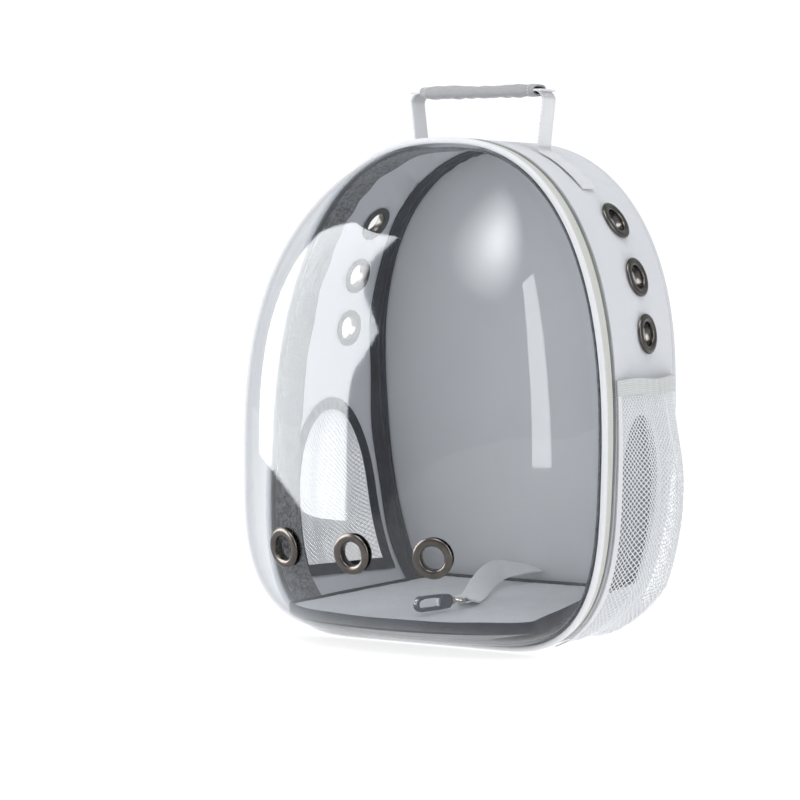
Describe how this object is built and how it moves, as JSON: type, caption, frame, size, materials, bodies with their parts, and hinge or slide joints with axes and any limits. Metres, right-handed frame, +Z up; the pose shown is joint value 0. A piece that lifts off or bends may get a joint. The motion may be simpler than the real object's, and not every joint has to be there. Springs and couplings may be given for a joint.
{
  "type": "bubble pet carrier backpack",
  "caption": "Backpack for carrying a small pet, with a clear domed front shell, arched fabric body, air eyelets, net side pockets, top handle and floor cushion with a safety leash.",
  "frame": {"origin": "under the middle of the outer box, on the surface that the flat base rests on", "axes": "+Z up, -Y the way the clear shell faces, +X to the right seen from the front"},
  "size_m": [0.3452, 0.3124, 0.4699],
  "materials": {
    "clear_shell": "clear moulded plastic shell, glossy",
    "white_fabric": "smooth coated pale grey-white cloth with a faint sheen",
    "piping": "white covered cord piping",
    "tape": "warm pale woven tape and elastic",
    "teeth": "grey-green moulded zip teeth",
    "dark_knit": "dark grey knitted facing",
    "charcoal": "charcoal velour binding",
    "net": "pale open net",
    "gunmetal": "polished gunmetal eyelets",
    "webbing": "pale ribbed webbing",
    "grip": "grey padded grip cloth with creases",
    "plush": "short white plush",
    "steel": "bright plated steel",
    "slate": "dark slate lacquered metal",
    "grey_panel": "mid-grey padded cloth",
    "plastic": "moulded grey plastic"
  },
  "bodies": {
    "root": {"back_panel": "grey_panel", "body_gusset": "white_fabric", "corner_binding": "charcoal", "cushion_edge": "charcoal", "floor_board": "charcoal", "floor_plush": "plush", "handle_grip": "grip", "handle_webbing": "webbing", "leash_eye": "steel", "leash_strap": "webbing", "pocket_band_left": "tape", "pocket_band_right": "tape", "pocket_net_left": "net", "pocket_net_right": "net", "shell": "clear_shell", "shell_eyelet_1": "gunmetal", "shell_eyelet_2": "gunmetal", "shell_eyelet_3": "gunmetal", "shell_piping": "piping", "shoulder_strap_left": "grey_panel", "shoulder_strap_right": "grey_panel", "side_eyelet_left_1": "gunmetal", "side_eyelet_left_2": "gunmetal", "side_eyelet_left_3": "gunmetal", "side_eyelet_right_1": "gunmetal", "side_eyelet_right_2": "gunmetal", "side_eyelet_right_3": "gunmetal", "strap_buckle_left": "plastic", "strap_buckle_right": "plastic", "strap_tail_left": "webbing", "strap_tail_right": "webbing", "strap_yoke": "grey_panel", "window_binding_left": "charcoal", "window_binding_right": "charcoal", "window_mesh_left": "net", "window_mesh_right": "net", "zip_chain": "teeth", "zip_facing": "dark_knit", "zip_slider": "steel", "zip_tape": "tape"},
    "hook": {"leash_hook": "slate"},
    "gate": {"leash_gate": "slate"}
  },
  "joints": [
    {"name": "hook_swivel", "type": "hinge", "parent": "root", "child": "hook", "pos_m": [0.026, -0.04114, 0.03876], "axis": [-0.1908, -0.9816, 0], "continuous": true},
    {"name": "gate_hinge", "type": "hinge", "parent": "hook", "child": "gate", "pos_m": [0.02253, -0.059, 0.04406], "axis": [0.9816, -0.1908, 0], "range_deg": [0, 20], "stiffness_Nm_per_rad": 0.02, "springref_deg": -17.19}
  ]
}
